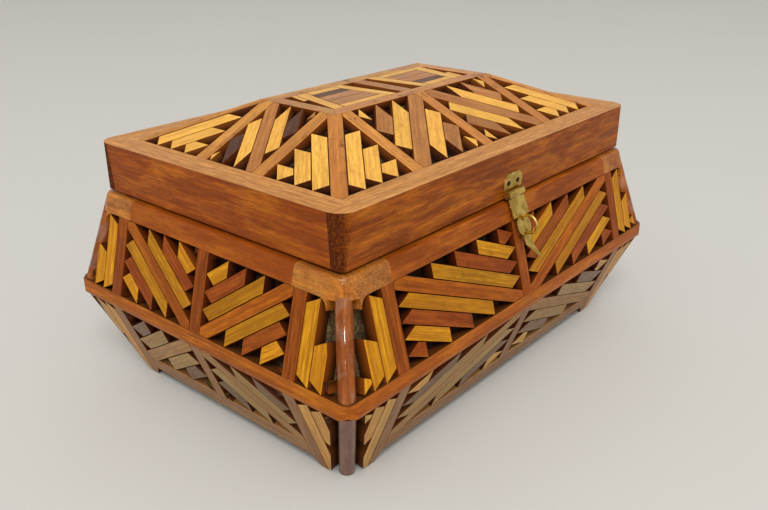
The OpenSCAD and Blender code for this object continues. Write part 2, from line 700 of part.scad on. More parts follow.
// Strips parallel to a hip, with level tops and pointed feet at the rim
module hip_strips(s) {
    rail_u = (is_long(s) ? slope_rail_long : slope_rail_short) + slope_rail / 2 + strip_gap;
    fall = roof_len / roof_run;
    for (i = [0:2]) {
        outer = hip_w / 2 + strip_gap + i * (hip_strip + strip_gap);
        inner = outer + hip_strip;
        tip = beside_hip(s, inner, 0);
        top = (tip - rail_u) * fall;
        heel = (beside_hip(s, outer, 0) - tip) * fall / 2;
        if (top > heel)
            polygon([[tip, 0], [rail_u, top], [beside_hip(s, outer, top), top],
                     [beside_hip(s, outer, heel), heel]]);
    }
}
module lid_corner_strips()
    color(gold) for (s = SIDES) on_roof(s) raised(lid_overlay) both_ways() hip_strips(s);

// Flat top: half its length and width inside the frame, and the middle lines of its slanting strips
top_l = half_l + top_edge - top_frame_w;
top_w = half_w + top_edge - top_frame_w;
outer_x = top_l - top_lean / 2 - top_strip / 2 - strip_gap;
inner_x = top_bar / 2 + top_strip / 2 + inner_lean / 2 + inner_room;
chip_x = -outer_x - top_strip / 2 - strip_gap - chip_w / 2;
module on_top() translate([0, 0, roof_top]) raised(lid_overlay) children();
// Both halves of the flat top; the right one is the left one turned about the middle
module both_halves() for (turned = [0, 180]) rotate(turned) children();
function leaning(x, lean, y) = x + lean / 2 * y / top_w;
// A strip of width w across the flat top whose middle is at x, from the front y to the back y
module slanting(x, lean, w, from, to)
    polygon([[leaning(x, lean, from) - w / 2, from], [leaning(x, lean, from) + w / 2, from],
             [leaning(x, lean, to) + w / 2, to], [leaning(x, lean, to) - w / 2, to]]);
// Tones and shares of the height of the short strips stacked between two slanting ones, from the front
STACK_TONES = ["gold", "brown", "brown", "plum", "gold"];
STACK_SHARES = [0.14, 0.26, 0.26, 0.18, 0.16];
function share_before(i) = i == 0 ? 0 : STACK_SHARES[i - 1] + share_before(i - 1);
module stack(tone)
    for (i = [0:len(STACK_TONES) - 1]) if (STACK_TONES[i] == tone) {
        y0 = 2 * top_w * share_before(i) - top_w + strip_gap / 2;
        y1 = y0 + 2 * top_w * STACK_SHARES[i] - strip_gap;
        side = top_strip / 2 + strip_gap;
        polygon([[leaning(-outer_x, top_lean, y0) + side, y0],
                 [leaning(-inner_x, -inner_lean, y0) - side, y0],
                 [leaning(-inner_x, -inner_lean, y1) - side, y1],
                 [leaning(-outer_x, top_lean, y1) + side, y1]]);
    }

module lid_strips_brown()
    color(brown) {
        slope_strips("brown");
        on_top() {
            both_halves() stack("brown");
            translate([-top_bar / 2, -top_w]) square([top_bar, 2 * top_w]);
        }
    }
module lid_strips_gold()
    color(gold) {
        slope_strips("gold");
        on_top() both_halves() {
            slanting(-outer_x, top_lean, top_strip, -top_w, top_w);
            slanting(-inner_x, -inner_lean, top_strip, -top_w, top_w);
            slanting(chip_x, top_lean, chip_w, top_w * chip_from, top_w);
            stack("gold");
        }
    }
module lid_strips_plum()
    color(plum) {
        slope_strips("plum");
        on_top() both_halves() stack("plum");
    }

// Hasp on the front: the leaf hangs on the plate's knuckle and rests on the stud

module on_lid_front()
    translate([hasp_x, -half_w, lid_z]) rotate([90 + lid_tilt, 0, 0]) children();
module at_hasp_axis() translate([hasp_x, hasp_y, hasp_z]) children();
module on_leaf() at_hasp_axis() rotate([90 - leaf_swing, 0, 0]) children();
module pivot(h, r) rotate([0, 90, 0]) cylinder(h = h, r = r, center = true);
module hasp_plate() {
    low_edge = 2 * hasp_knuckle_r + knuckle_room;
    ear_w = (leaf_w - hasp_middle) / 2 - pin_fit;
    color(brass) difference() {
        union() {
            on_lid_front() linear_extrude(hasp_t) {
                polygon([[-hasp_w / 2, low_edge], [hasp_w / 2, low_edge], [hasp_w / 2, hasp_h - hasp_clip],
                         [hasp_w / 2 - hasp_clip, hasp_h], [hasp_clip - hasp_w / 2, hasp_h],
                         [-hasp_w / 2, hasp_h - hasp_clip]]);
                both_ways() translate([leaf_w / 2 - ear_w, hasp_knuckle_r])
                    square([ear_w, low_edge - hasp_knuckle_r]);
            }
            at_hasp_axis() both_ways() translate([(leaf_w - ear_w) / 2, 0, 0]) pivot(ear_w, hasp_knuckle_r);
        }
        at_hasp_axis() pivot(2 * leaf_w, pin_r + pin_fit);
        on_lid_front() both_ways() translate([hasp_w / 4, plate_hole_at, -hasp_t])
            cylinder(h = 3 * hasp_t, r = plate_hole_r);
    }
}
module hasp_pin() color(brass) at_hasp_axis() pivot(leaf_w, pin_r);
// The leaf is a plate with its drop below the knuckle along -Y, a round lobe, a waist and a bent tip
module hasp_leaf()
    color(brass) on_leaf() difference() {
        union() {
            pivot(hasp_middle, hasp_knuckle_r);
            leaf_piece(hasp_middle, 0, leaf_len);
            leaf_piece(leaf_w, hasp_knuckle_r + knuckle_room, leaf_len);
            leaf_piece(2 * waist_r, ring_drop, bend_drop);
            translate([0, -ring_drop, 0]) cylinder(h = hasp_t, r = lobe_r, center = true);
            translate([0, -bend_drop, 0]) rotate([-tip_bend, 0, 0]) leaf_tip();
        }
        pivot(2 * leaf_w, pin_r + pin_fit);
        for (y = [-1, 1]) translate([0, y * ring_chord - ring_drop, 0])
            cylinder(h = 2 * hasp_t, r = wire_r + wire_fit, center = true);
    }
module leaf_piece(w, from, to)
    translate([-w / 2, -to, -hasp_t / 2]) cube([w, to - from, hasp_t]);
// The tip narrows from just inside the waist to a blunt point
module leaf_tip()
    translate([0, 0, -hasp_t / 2]) linear_extrude(hasp_t)
        polygon([[-tip_root, hasp_t], [tip_root, hasp_t], [tip_r, -tip_len], [-tip_r, -tip_len]]);
module hasp_ring()
    color(brass) on_leaf() translate([0, -ring_drop, ring_out]) rotate([0, 90, 0])
        rotate_extrude() translate([ring_r, 0]) circle(wire_r);
module on_stud() on_upper("front") translate([hasp_x, stud_t, 0]) children();
module hasp_stud()
    color(brass) on_stud() {
        translate([0, 0, -stud_depth]) cylinder(h = stud_depth + stud_top - stud_head, r = stud_r);
        translate([0, 0, stud_top - stud_head]) cylinder(h = stud_head, r = stud_head_r);
    }

bottom_board();
lower_panel("front");  // lower_panel_front
lower_panel("right");  // lower_panel_right
lower_panel("back");  // lower_panel_back
lower_panel("left");  // lower_panel_left
upper_panel("front");  // upper_panel_front
upper_panel("right");  // upper_panel_right
upper_panel("back");  // upper_panel_back
upper_panel("left");  // upper_panel_left
belt_rail("front");  // belt_rail_front
belt_rail("right");  // belt_rail_right
belt_rail("back");  // belt_rail_back
belt_rail("left");  // belt_rail_left
rim_rail("front");  // rim_rail_front
rim_rail("right");  // rim_rail_right
rim_rail_back();
rim_rail("left");  // rim_rail_left
rim_corner_blocks();
bottom_rails();
upper_corner_posts();
lower_corner_posts();
upper_posts();
lower_posts();
foot_posts();
upper_strips_orange();
upper_strips_olive();
upper_strips_brown();
upper_strips_gold();
lower_strips_tan();
lower_strips_olive();
lower_strips_plum();
lower_strips_gold();
upper_corner_strips();
lower_corner_strips();
hinge_box_leaves();
hinge_pins();
hinge_box_screws();
hasp_stud();
lid_rail_side("front");  // lid_rail_front
lid_rail_side("right");  // lid_rail_right
lid_rail_back();
lid_rail_side("left");  // lid_rail_left
lid_panel("front");  // lid_panel_front
lid_panel("right");  // lid_panel_right
lid_panel("back");  // lid_panel_back
lid_panel("left");  // lid_panel_left
lid_panel_top();
hip_rails();
slope_rails();
top_frame();
lid_strips_brown();
lid_strips_gold();
lid_strips_plum();
lid_corner_strips();
hinge_lid_leaves();
hinge_lid_screws();
hasp_plate();
hasp_pin();
hasp_leaf();
hasp_ring();
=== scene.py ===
"""Looks of the keepsake box of sawn strips: varnished woods, aged brass, and a plain stage for its picture.

Every piece is a dressed copy of its CAD node, with eased edges and its own run of grain.
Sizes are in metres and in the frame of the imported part: +Z up, the front faces -Y.
"""

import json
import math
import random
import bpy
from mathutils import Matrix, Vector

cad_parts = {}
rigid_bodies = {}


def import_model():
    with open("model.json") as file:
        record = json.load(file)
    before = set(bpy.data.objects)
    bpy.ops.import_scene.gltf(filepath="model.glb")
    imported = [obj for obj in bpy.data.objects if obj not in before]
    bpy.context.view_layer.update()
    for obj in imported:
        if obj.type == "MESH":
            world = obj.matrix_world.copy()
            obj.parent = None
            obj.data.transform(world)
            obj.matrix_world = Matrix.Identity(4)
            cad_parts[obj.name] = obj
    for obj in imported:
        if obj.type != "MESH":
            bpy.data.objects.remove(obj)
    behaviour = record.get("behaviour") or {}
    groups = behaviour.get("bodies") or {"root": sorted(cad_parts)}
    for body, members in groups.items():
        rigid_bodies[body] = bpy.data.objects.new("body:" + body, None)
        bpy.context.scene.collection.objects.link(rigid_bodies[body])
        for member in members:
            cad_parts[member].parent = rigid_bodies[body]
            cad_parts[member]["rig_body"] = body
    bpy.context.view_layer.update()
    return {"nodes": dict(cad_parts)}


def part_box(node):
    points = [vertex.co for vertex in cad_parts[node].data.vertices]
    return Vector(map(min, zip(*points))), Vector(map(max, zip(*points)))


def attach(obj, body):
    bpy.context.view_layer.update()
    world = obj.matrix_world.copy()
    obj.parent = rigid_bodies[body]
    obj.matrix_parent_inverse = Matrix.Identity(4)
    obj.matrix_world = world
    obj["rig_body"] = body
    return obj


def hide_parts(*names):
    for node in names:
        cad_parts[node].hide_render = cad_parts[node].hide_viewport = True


bl_info = {
    "name": "Keepsake box of sawn strips",
    "version": (1, 0, 0),
    "blender": (4, 5, 0),
    "location": "View3D > Sidebar > Keepsake Box",
    "description": "Dresses the packed box in varnished woods and aged brass",
    "category": "Object",
}

import bmesh
import bpy
from bpy.props import FloatProperty, FloatVectorProperty, PointerProperty
from mathutils import Euler, Matrix, Vector

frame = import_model()

SIDES = ("front", "right", "back", "left")
UP = Vector((0, 0, 1))
MM = 0.001

# Joining the triangles of a CAD node: nearer corners are one corner, and flatter triangles one face
WELD = 1e-6
FLAT = math.radians(0.6)

# Edges that turn further than this are eased
SHARP = math.radians(28)

# Slopes of the faces that the strips lie on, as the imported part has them: two from upright, the roof from level
UPPER_TILT = math.radians(14.50)
LOWER_TILT = math.radians(21.57)
ROOF_TILT = math.radians(23.57)

# How a face is turned, as the cosine of its angle: to a slope, to the piece's outward side, to straight up
# and to the run of the grain, where end grain starts to show and shows in full
ON_SLOPE = 0.9995
SIDE_FACE = 0.6
LEVEL_FACE = 0.9
END_FROM, END_FULL = 0.2, 0.7

# Every piece is sawn from another place in its plank: the furthest turn in radians, and shift in millimetres
GRAIN_TURN = 0.9
GRAIN_SHIFT = (900, 300, 300)

# Depth over which painted shade darkens the sides of the strips and posts of the tiers, and of those of the lid
TIER_DEPTH = 0.0065
LID_DEPTH = 0.0055

# Heights at which the corner posts start to take the colour of the rim's blocks, and have it
CROWN_FROM, CROWN_FULL = 0.1190, 0.1198

# Where lint gathers on the boards, beside the corner posts
CORNER_X, CORNER_Y, CORNER_REACH = 0.152, 0.106, 0.018

# Boards are plain where the lid's look down, on the walls' upper edges, and in part under the bottom
LOOKS_DOWN, LOOKS_UP = -0.3, 0.7
UNDER_BOTTOM = 0.4

# The hasp's plate leans with the front of the lid, and its nails stand to both sides of the row's middle
PLATE_LEAN = math.radians(3.8533)
NAIL_ROW_Y, NAIL_ROW_Z = -0.10409, 0.14035
NAIL_REACH = 0.005
NAIL_LIFT = 0.00045

# Lamps behind the camera: a wide one high up, and the two panes of a low window
LAMP_AIM = Vector((0, 0, 0.1))
CEILING_PLACE, CEILING_SIZE = Vector((-2.0, -1.9, 3.2)), 2.0
WINDOW_X, WINDOW_Y = -2.0, -1.75
PANE_HEIGHTS = {"upper": 0.56, "lower": 0.30}
PANE_SIZE, PANE_SPREAD = 0.15, math.radians(60)
DAYLIGHT = (1.0, 0.99, 0.975, 1)

# Half the side of the table top, and how far it lies under the feet
FLOOR_HALF, FLOOR_DROP = 6.0, 0.0002

# The photograph's view, near the left front corner of the box and a little above the lid
CAMERA_PLACE = Vector((-0.420736, -0.360934, 0.302639))
CAMERA_TURN = Euler((math.radians(66.58174), math.radians(0.14651), math.radians(-49.56484)))
LENS_MM, SENSOR_MM = 38.96, 36.0
CLIP_START = 0.01


# Colours and sizes that a user would change


def colour(name, words, red, green, blue):
    """A colour property, written the way a screen shows it."""
    return FloatVectorProperty(name=name, description=words, subtype="COLOR_GAMMA", size=3, min=0, max=1,
                               default=(red / 255, green / 255, blue / 255))


def length(name, words, default, least, most):
    """A length property."""
    return FloatProperty(name=name, description=words, unit="LENGTH", default=default, min=least, max=most)


def power(name, words, default, most):
    """A property for the power of a lamp."""
    return FloatProperty(name=name, description=words, unit="POWER", default=default, min=0, max=most)


class KeepsakeWoods(bpy.types.PropertyGroup):
    """Colours of the woods."""

    lid_gold: colour("Lid gold", "Pale strips on the lid", 255, 196, 80)
    lid_brown: colour("Lid brown", "Brown strips on the lid", 190, 128, 60)
    lid_plum: colour("Lid plum", "Dark chips on the lid", 92, 58, 40)
    lid_frame: colour("Lid frame", "Hips, slope rails and top frame", 212, 150, 64)
    lid_rail: colour("Lid rails", "Deep rails of the lid", 173, 91, 18)
    lid_top: colour("Lid rail tops", "Paled upper faces of the lid's rails", 207, 147, 80)
    rim_rail: colour("Rim rails", "Rails of the rim", 172, 93, 22)
    rim_block: colour("Rim blocks", "Corner blocks of the rim, and the tops of the corner posts", 176, 102, 30)
    belt: colour("Belt", "Belt between the tiers", 178, 100, 18)
    post: colour("Posts", "Posts between the bays", 156, 80, 18)
    rod: colour("Corner posts", "Round posts at the corners", 170, 98, 48)
    tier_gold: colour("Tier gold", "Pale strips on the upper tier", 211, 146, 23)
    tier_olive: colour("Tier olive", "Greenish strips on the upper tier", 192, 134, 18)
    tier_orange: colour("Tier orange", "Middle strips on the upper tier", 176, 96, 18)
    tier_brown: colour("Tier brown", "Brown strips on the upper tier", 154, 76, 18)
    low_tan: colour("Lower tan", "Middle strips on the lower tier", 170, 128, 66)
    low_olive: colour("Lower olive", "Greyish strips on the lower tier", 170, 140, 78)
    low_plum: colour("Lower plum", "Dark strips on the lower tier", 128, 98, 68)
    low_gold: colour("Lower gold", "Pale strips on the lower tier", 210, 162, 78)
    low_frame: colour("Lower frame", "Posts and rails of the lower tier", 158, 116, 70)
    low_rod: colour("Lower corner posts", "Round posts at the corners of the lower tier", 124, 78, 54)
    # Partly the boards' stain and partly painted shade, for the deep gaps behind the strips
    board: colour("Boards", "Stained boards behind the strips", 46, 24, 10)
    inside: colour("Inside", "Plain wood inside the box", 172, 112, 58)
    stain: colour("Stain", "Red-brown stain on the sides and ends of the strips", 122, 58, 18)
    # Painted shade: the strips' sides darken towards the boards, low in the gaps between them
    recess_shade: colour("Grime", "Dirt low on the strips' sides", 24, 11, 5)
    # Painted shade on the belt's upper faces, at the foot of the bays
    ledge_shade: colour("Ledges", "Dusty ledges at the foot of the bays", 80, 50, 26)
    speck: colour("Rubbed specks", "Bare specks on the rim's corner blocks", 236, 184, 96)
    dust: colour("Dust", "Dust that lies on the boards", 172, 154, 106)


class KeepsakeBrass(bpy.types.PropertyGroup):
    """Colours of the hasp and the hinges, and the size of the nails."""

    bright: colour("Bright brass", "Rubbed brass", 232, 200, 112)
    dull: colour("Dull brass", "Brass dulled by age", 176, 144, 64)
    dark: colour("Dark brass", "Dirt in the corners of the brass", 62, 46, 22)
    nail: colour("Nail heads", "Dark heads of the nails in the hasp's plate", 34, 26, 16)
    nail_r: length("Nail head", "Radius of the nail heads on the hasp's plate", 0.0017, 0.001, 0.003)
    nail_h: length("Nail height", "Height of the nail heads on the hasp's plate", 0.0007, 0.0003, 0.0015)


class KeepsakeEdges(bpy.types.PropertyGroup):
    """How far the edges of the pieces are eased."""

    strip: length("Strips", "Eased edge of a sawn strip or a post between bays", 0.0003, 0.0001, 0.001)
    rail: length("Rails", "Eased edge of a rail", 0.0005, 0.0001, 0.0015)
    board: length("Boards", "Eased edge of a board, the rim or a corner post", 0.0002, 0.0001, 0.001)
    brass: length("Brass", "Eased edge of the sheet brass", 0.00018, 0.00005, 0.0004)


class KeepsakeStage(bpy.types.PropertyGroup):
    """Floor, light and background."""

    floor: colour("Floor", "Pale table that the box stands on", 204, 202, 196)
    backdrop: colour("Background", "Pale room behind the table", 212, 208, 203)
    sky: FloatProperty(name="Room light", description="Strength of the even light of the room",
                       default=0.68, min=0, max=1.5)
    ceiling: power("Ceiling lamp", "Power of the wide lamp high behind the camera", 112.0, 300)
    window: power("Window", "Power of the low window behind the camera, both panes together", 0.65, 3)


class KeepsakeLooks(bpy.types.PropertyGroup):
    """All that a user would change."""

    woods: PointerProperty(type=KeepsakeWoods)
    brass: PointerProperty(type=KeepsakeBrass)
    edges: PointerProperty(type=KeepsakeEdges)
    stage: PointerProperty(type=KeepsakeStage)


# Shader maths


def linear(colour_value, share=1.0):
    """A screen colour as the four numbers that a colour socket takes, made lighter or darker by a share.

    A darker wood is also a warmer one, so its green and blue fall faster than its red. No part goes past 1.
    """
    parts = [c / 12.92 if c <= 0.04045 else ((c + 0.055) / 1.055) ** 2.4 for c in colour_value]
    share = min(share, 1 / max(parts))
    fall = (1.0, 1.25, 1.5) if share < 1 else (1.0, 1.0, 1.0)
    return (*(c * share ** steep for c, steep in zip(parts, fall)), 1.0)


class Value:
    """A shader socket that takes part in Python sums."""

    def __init__(self, finish, socket):
        self.finish = finish
        self.socket = socket

    def _math(self, operation, first, second):
        return self.finish.node("ShaderNodeMath", {"operation": operation}, {0: first, 1: second})

    def __add__(self, other):
        return self._math("ADD", self, other)

    def __radd__(self, other):
        return self._math("ADD", other, self)

    def __sub__(self, other):
        return self._math("SUBTRACT", self, other)

    def __rsub__(self, other):
        return self._math("SUBTRACT", other, self)

    def __mul__(self, other):
        return self._math("MULTIPLY", self, other)

    def __rmul__(self, other):
        return self._math("MULTIPLY", other, self)


class Finish:
    """The nodes of one material or of the world."""

    def __init__(self, owner):
        self.owner = owner
        owner.use_nodes = True
        self.tree = owner.node_tree
        self.tree.nodes.clear()

    def node(self, kind, settings=None, inputs=None, out=0):
        """Adds a node, sets it up, joins or fills its sockets and gives one of its outputs."""
        made = self.tree.nodes.new(kind)
        for key, value in (settings or {}).items():
            setattr(made, key, value)
        for key, value in (inputs or {}).items():
            if isinstance(value, Value):
                self.tree.links.new(value.socket, made.inputs[key])
            else:
                made.inputs[key].default_value = value
        return Value(self, made.outputs[out]) if made.outputs else None

    def attribute(self, name, out="Fac"):
        """A value that dress() or an operator painted on the piece."""
        return self.node("ShaderNodeAttribute", {"attribute_name": name}, out=out)

    def place(self):
        """Where a point lies in the part's own frame, in metres."""
        return self.node("ShaderNodeTexCoord", out="Object")

    def stretched(self, vector, by):
        """A vector with each of its parts times a number."""
        return self.node("ShaderNodeVectorMath", {"operation": "MULTIPLY"}, {0: vector, 1: by}, "Vector")

    def noise(self, vector, by, detail=3.0, rough=0.5, warp=0.0):
        """Soft noise, drawn finer by one number or by one along each axis."""
        by = by if isinstance(by, tuple) else (by, by, by)
        return self.node("ShaderNodeTexNoise", {}, {"Vector": self.stretched(vector, by), "Scale": 1.0,
                                                    "Detail": detail, "Roughness": rough, "Distortion": warp})

    def rings(self, vector, by, scale, warp):
        """Growth rings, as bands across the grain that rise slowly and end at once."""
        return self.node("ShaderNodeTexWave", {"bands_direction": "Y", "wave_profile": "SAW"},
                         {"Vector": self.stretched(vector, by), "Scale": scale, "Distortion": warp,
                          "Detail": 2.0, "Detail Scale": 0.5})

    def ease(self, value, low, high):
        """0 at low, 1 at high and a smooth change between them."""
        return self.node("ShaderNodeMapRange", {"interpolation_type": "SMOOTHSTEP"},
                         {"Value": value, "From Min": low, "From Max": high})

    def blend(self, share, first, second):
        """The first colour, with a share of the second over it."""
        return self.node("ShaderNodeMix", {"data_type": "RGBA"}, {0: share, 6: first, 7: second}, 2)

    def far(self, vector, axis):
        """How far a place lies from the middle along one axis."""
        part = self.node("ShaderNodeSeparateXYZ", {}, {"Vector": vector}, axis)
        return self.node("ShaderNodeMath", {"operation": "ABSOLUTE"}, {0: part})

    def bump(self, height, strength, distance):
        """A relief for the Normal socket."""
        return self.node("ShaderNodeBump", {}, {"Height": height, "Strength": strength, "Distance": distance})

    def surface(self, inputs):
        """Ends the material in one Principled shader and gives the material."""
        shader = self.node("ShaderNodeBsdfPrincipled", {}, inputs)
        self.node("ShaderNodeOutputMaterial", {}, {"Surface": shader})
        return self.owner


def new_finish(name):
    """The nodes of a new material."""
    return Finish(bpy.data.materials.new(name))


def varnished_wood(name, base, woods, rings=0.3, streaks=0.6, flame=0.0, spread=0.45, polish=0.06, sheen=0.08,
                   rough=0.36, stains=0.0, shaded=1.0, top_fade_and_shade=None, crown=None, specked=None, blotchy=False,
                   glassy=False):
    """Varnished wood whose grain runs along each piece.

    rings and streaks set how strongly the growth rings and the fibres show, flame the figure along a wide
    board, spread how much the pieces differ, polish the clear varnish, sheen and rough the wood under it, stains
    the dark blots, and shaded how light the sides are, where painted shade darkens the stain on them. faded is the
    colour of faces that look up: paled on the lid's rails, and painted shade on the belt's upper faces. crown is
    the colour of a post's top, and specked the colour of rubbed specks. A blotchy varnish shines in places, and a
    glassy one is hard and uneven.
    """
    f = new_finish(name)
    grain = f.attribute("grain", "Vector")
    place = f.place()
    tone = f.attribute("tone")
    warm = f.attribute("warm")
    end = f.attribute("endgrain")
    side = f.attribute("side")
    worn = f.attribute("worn")
    sunk = f.attribute("sunk")
    deep, darkest = linear(base, 0.42), linear(base, 0.2)

    # Growth rings, fibres and pores, drawn on millimetres along, across and out of the piece
    fibres = f.noise(grain, (0.05, 1.7, 1.7), 5.0, 0.66)
    streaky = f.noise(grain, (0.013, 0.5, 0.5), 5.0, 0.62, 0.3)
    bands = f.rings(grain, (0.05, 1.0, 0.55), scale=0.11, warp=3.4)
    pores = f.ease(f.noise(grain, (0.16, 4.6, 4.6), 2.0, 0.6), 0.58, 0.70)
    look = f.blend(f.ease(streaky, 0.36, 0.60) * streaks, linear(base, 1.25), linear(base, 0.62))
    look = f.blend(f.ease(streaky, 0.54, 0.68) * streaks, look, deep)
    look = f.blend(f.ease(bands, 0.45, 1.0) * rings, look, linear(base, 0.5))
    look = f.blend(f.ease(fibres, 0.42, 0.64) * (0.7 * streaks), look, deep)
    look = f.blend(pores * 0.55, look, darkest)

    # Figure of a wide board: dark flames, and broad patches both darker and paler than the rest
    if flame:
        figure = f.noise(grain, (0.03, 0.30, 0.30), 8.0, 0.78, 0.4)
        patches = f.noise(grain, (0.020, 0.085, 0.085), 6.0, 0.66, 0.5)
        paler = linear((base[0], 1.14 * base[1], base[2]), 1.5)
        look = f.blend(f.ease(figure, 0.45, 0.58) * flame, look, linear(base, 0.34))
        look = f.blend(f.ease(figure, 0.56, 0.66) * (0.7 * flame), look, linear(base, 0.16))
        look = f.blend(f.ease(patches, 0.46, 0.68) * (0.9 * flame), look, linear(base, 0.3))
        look = f.blend(f.ease(patches, 0.53, 0.34) * (0.65 * flame), look, paler)

    # Differences from piece to piece
    redder = linear((base[0], 0.78 * base[1], 0.7 * base[2]))
    look = f.blend(tone * spread, look, linear(base, 0.5))
    look = f.blend(warm * (0.5 * spread), look, redder)

    # Age: paled tops (painted shade on the belt's upper faces), mottling, blots, edges rubbed lighter (partly a
    # painted highlight) and rubbed specks
    mottle = f.noise(grain, (0.09, 0.6, 0.6), 4.0, 0.7)
    # Faces that look up take their own colour: paled on the lid's rails, painted shade on the belt's upper faces
    if top_fade_and_shade:
        pale = f.blend(f.ease(streaky, 0.36, 0.62) * 0.6, linear(top_fade_and_shade, 1.12), linear(top_fade_and_shade, 0.62))
        look = f.blend(f.attribute("level") * 0.9, look, pale)
    if crown:
        crowned = f.ease(f.far(place, "Z"), CROWN_FROM, CROWN_FULL)
        cap = f.blend(f.ease(mottle, 0.40, 0.60), linear(crown, 1.1), linear(crown, 0.6))
        look = f.blend(crowned, look, cap)
    look = f.blend(f.ease(mottle, 0.42, 0.62) * 0.42, look, deep)
    if stains:
        blot = f.ease(f.noise(place, 85, 4.0, 0.65), 0.57, 0.68)
        look = f.blend(blot * stains, look, darkest)
    # Eased edges made lighter: partly wear, partly a painted highlight along the edges
    wear_and_highlight = worn * f.ease(f.noise(grain, (0.08, 0.3, 0.3)), 0.38, 0.62)
    look = f.blend(wear_and_highlight * 0.35, look, linear(base, 1.6))
    if specked:
        fine = f.ease(f.noise(place, 1500, 2.0, 0.6), 0.44, 0.62)
        rubbed = f.ease(f.noise(place, 60, 2.0), 0.42, 0.62)
        look = f.blend(fine * (0.04 + 0.2 * rubbed), look, linear(specked))

    # Stained sides with painted shade over the stain, dark ends, and painted shade low between the strips
    specks = f.ease(f.noise(grain, (0.5, 0.7, 0.7), 4.0, 0.7), 0.40, 0.62)
    look = f.blend(side * 0.94, look, linear(woods.stain, shaded))
    look = f.blend(end * (0.65 + 0.33 * specks), look, linear(woods.stain, 0.25))
    look = f.blend(f.ease(sunk, 0.15, 0.95) * 0.82, look, linear(woods.recess_shade))

    # Varnish
    dull = f.ease(f.noise(grain, (0.05, 0.16, 0.16), 3.0, 0.6), 0.35, 0.75)
    height = fibres * 0.4 + streaky * 0.4 + bands * 0.25 - pores * 0.6
    if glassy:
        height = height + f.noise(place, (260, 260, 150), 2.0) * 2.5
    coat = polish * (1.0 - 0.8 * end) * (1.0 - sunk)
    if crown:
        coat = coat * (1.0 - 0.85 * crowned)
    if blotchy:
        coat = coat * f.ease(f.noise(place, (110, 110, 70), 3.0, 0.6), 0.46, 0.60)
    return f.surface({
        "Base Color": look,
        "Roughness": rough + 0.16 * dull + 0.25 * end + 0.25 * sunk,
        "Specular IOR Level": sheen,
        "Coat Weight": coat,
        "Coat Roughness": 0.05 if glassy else 0.12,
        "Coat IOR": 1.8 if glassy else 1.5,
        "Normal": f.bump(height, 0.25, 0.00035),
    })


def stained_board(name, woods):
    """Boards: stained dark and darkened further with painted shade, and dusty, behind the strips; plainer inside the
    box.
    """
    f = new_finish(name)
    grain = f.attribute("grain", "Vector")
    inner = f.attribute("inner")
    place = f.place()
    fibres = f.noise(grain, (0.035, 0.9, 0.9), 5.0, 0.62)
    bands = f.rings(grain, (0.03, 0.7, 0.4), scale=0.04, warp=7.0)

    # Behind the strips: lint all over, and most of it beside the corner posts
    lint = f.ease(f.noise(place, 90, 5.0, 0.7), 0.50, 0.66)
    specks = f.ease(f.noise(place, 900, 3.0, 0.7), 0.46, 0.66)
    # The dark stain is made darker still by painted shade, for the deep gaps behind the strips
    dark = f.blend(f.ease(fibres, 0.3, 0.7), linear(woods.board, 1.25), linear(woods.board, 0.45))
    dusty = f.blend(lint * (0.2 + 0.45 * specks), dark, linear(woods.dust, 0.8))
    near_x = f.ease(f.far(place, "X"), CORNER_X - CORNER_REACH, CORNER_X)
    near_y = f.ease(f.far(place, "Y"), CORNER_Y - CORNER_REACH, CORNER_Y)
    dusty = f.blend(near_x * near_y * (0.1 + 0.5 * specks), dusty, linear(woods.dust))

    # Inside the box
    clouds = f.noise(grain, (0.008, 0.06, 0.06), 4.0, 0.6, 0.6)
    plain = f.blend(f.ease(clouds, 0.36, 0.64) * 0.6, linear(woods.inside, 1.15), linear(woods.inside, 0.6))
    plain = f.blend(f.ease(bands, 0.4, 1.0) * 0.22, plain, linear(woods.inside, 0.5))
    plain = f.blend(f.ease(fibres, 0.45, 0.75) * 0.4, plain, linear(woods.inside, 0.45))
    return f.surface({
        "Base Color": f.blend(inner, dusty, plain),
        "Roughness": 0.62 + 0.25 * lint,
        "Specular IOR Level": 0.2,
        "Coat Weight": 0.12 * inner,
        "Coat Roughness": 0.3,
        "Normal": f.bump(fibres * 0.6 + specks * lint, 0.35, 0.0005),
    })


def aged_brass(name, bright, dull, dark):
    """Sheet brass, rubbed bright on its edges and dark where dirt lies."""
    f = new_finish(name)
    place = f.place()
    worn = f.attribute("worn")
    patches = f.noise(place, 170, 3.0, 0.55)
    spots = f.ease(f.noise(place, 800, 3.0, 0.6), 0.62, 0.74)
    scratches = f.noise(place, (2600, 300, 500), 2.0, 0.6)
    look = f.blend(f.ease(patches, 0.40, 0.62) * 0.6, linear(dull), linear(bright))
    look = f.blend(spots * 0.6, look, linear(dark))
    look = f.blend(worn * 0.7, look, linear(bright, 1.15))
    return f.surface({
        "Base Color": look,
        "Metallic": 1.0 - 0.45 * spots,
        "Roughness": 0.30 + 0.2 * spots + 0.14 * scratches - 0.1 * worn,
        "Normal": f.bump(scratches * 0.3 - spots * 0.4, 0.12, 0.0001),
    })


def pale_table(name, tone):
    """A pale matt table top with faint clouds."""
    f = new_finish(name)
    cloud = f.noise(f.place(), 5)
    return f.surface({
        "Base Color": f.blend(cloud * 0.25, linear(tone), linear(tone, 0.9)),
        "Roughness": 0.8,
        "Specular IOR Level": 0.1,
    })


# Pieces


def slope_normals():
    """Outward directions of every face that carries strips."""
    found = [UP]
    for turn in range(len(SIDES)):
        angle = math.radians(90 * turn)
        out = Vector((math.sin(angle), -math.cos(angle), 0))
        found.append(out * math.cos(UPPER_TILT) + UP * math.sin(UPPER_TILT))
        found.append(out * math.cos(LOWER_TILT) - UP * math.sin(LOWER_TILT))
        found.append(out * math.sin(ROOF_TILT) + UP * math.cos(ROOF_TILT))
    return found


SLOPES = slope_normals()


